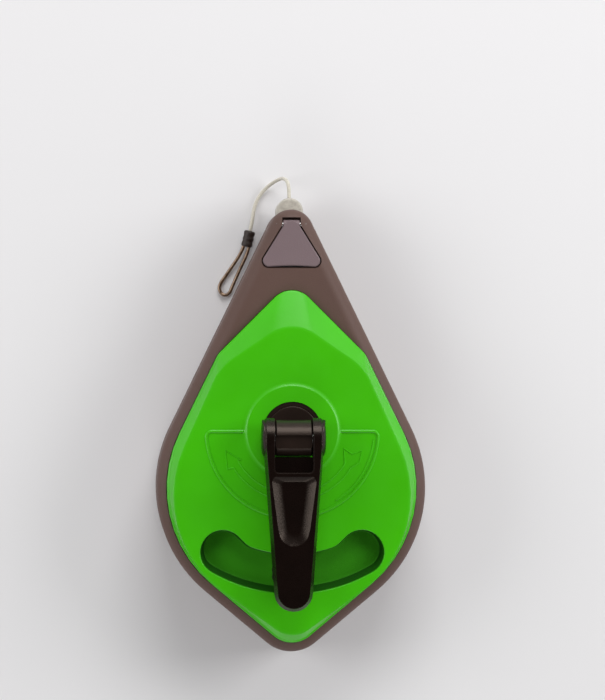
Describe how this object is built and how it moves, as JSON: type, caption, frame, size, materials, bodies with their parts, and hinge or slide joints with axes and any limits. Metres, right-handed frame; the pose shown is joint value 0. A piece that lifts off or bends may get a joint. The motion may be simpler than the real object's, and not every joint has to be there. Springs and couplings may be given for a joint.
{
  "type": "chalk line reel",
  "caption": "Hand-held chalk line reel: teardrop case with a geared rewind, flip-over crank with a spinning knob, hinged filling door, felt mouth, and a line ending in a wire hook.",
  "frame": {"origin": "where the crank's axis meets the flat back of the case", "axes": "+X to the right, +Y along the case towards the nose where the line comes out, +Z out of the back through the face cover; the reel lies on its back"},
  "size_m": [0.0786, 0.1395, 0.0468],
  "materials": {
    "case_plastic": "warm dark grey, fine moulded texture",
    "door_plastic": "lighter grey, satin",
    "cover_plastic": "bright green, semi-gloss moulded",
    "crank_plastic": "black, satin moulded",
    "hub_plastic": "dark grey, satin moulded",
    "spool_plastic": "black moulded",
    "bearing_plastic": "natural acetal",
    "seal_rubber": "soft black rubber",
    "felt": "cream wool felt, chalk resistant",
    "braided_line": "undyed braided cotton line",
    "ferrule_plastic": "dark brown crimp sleeve",
    "hook_wire": "bronzed spring wire",
    "bright_steel": "plain steel",
    "screw_steel": "zinc plated steel"
  },
  "bodies": {
    "case": {"back_case": "case_plastic", "front_case": "case_plastic", "case_gasket": "seal_rubber", "case_screws": "screw_steel", "face_cover": "cover_plastic", "cover_screws": "screw_steel", "hub_bush": "hub_plastic", "deck_bush": "bearing_plastic", "deck_felt_ring": "felt", "spool_axle": "bright_steel", "axle_washer": "bearing_plastic", "door_gasket": "seal_rubber", "door_pin": "bright_steel", "mouth_guide": "bright_steel", "felt_front": "felt", "felt_rear": "felt", "line_inside": "braided_line", "line_free_end": "braided_line", "line_ferrule": "ferrule_plastic", "line_hook": "hook_wire"},
    "crank_hub": {"crank_hub": "hub_plastic", "drive_gear": "bearing_plastic", "gear_washer": "bright_steel", "hub_screw": "bright_steel", "hub_seal_ring": "seal_rubber", "hinge_pin": "bright_steel"},
    "crank_arm": {"crank_arm": "crank_plastic", "knob_rivet": "bright_steel", "knob_washer": "bright_steel"},
    "crank_knob": {"crank_knob": "crank_plastic"},
    "spool": {"spool_drum": "spool_plastic", "spool_front_flange": "spool_plastic", "spool_pinion": "bearing_plastic", "wound_line": "braided_line"},
    "fill_door": {"fill_door": "door_plastic"}
  },
  "joints": [
    {"name": "crank_turn", "type": "hinge", "parent": "case", "child": "crank_hub", "pos_m": [0, 0, 0.035], "axis": [0, 0, 1], "continuous": true},
    {"name": "crank_fold", "type": "hinge", "parent": "crank_hub", "child": "crank_arm", "pos_m": [0, -0.0019, 0.041], "axis": [-1, 0, 0], "range_deg": [0, 180]},
    {"name": "knob_spin", "type": "hinge", "parent": "crank_arm", "child": "crank_knob", "pos_m": [0, -0.041, 0.038], "axis": [0, 0, 1], "continuous": true},
    {"name": "spool_turn", "type": "hinge", "parent": "case", "child": "spool", "pos_m": [0, -0.0168, 0.012], "axis": [0, 0, 1], "continuous": true},
    {"name": "door_open", "type": "hinge", "parent": "case", "child": "fill_door", "pos_m": [0, 0.0602, 0.0276], "axis": [-1, 0, 0], "range_deg": [0, 105]}
  ],
  "couplings": [
    {"joint": "crank_turn", "follows": "spool_turn", "ratio": -0.33333}
  ]
}
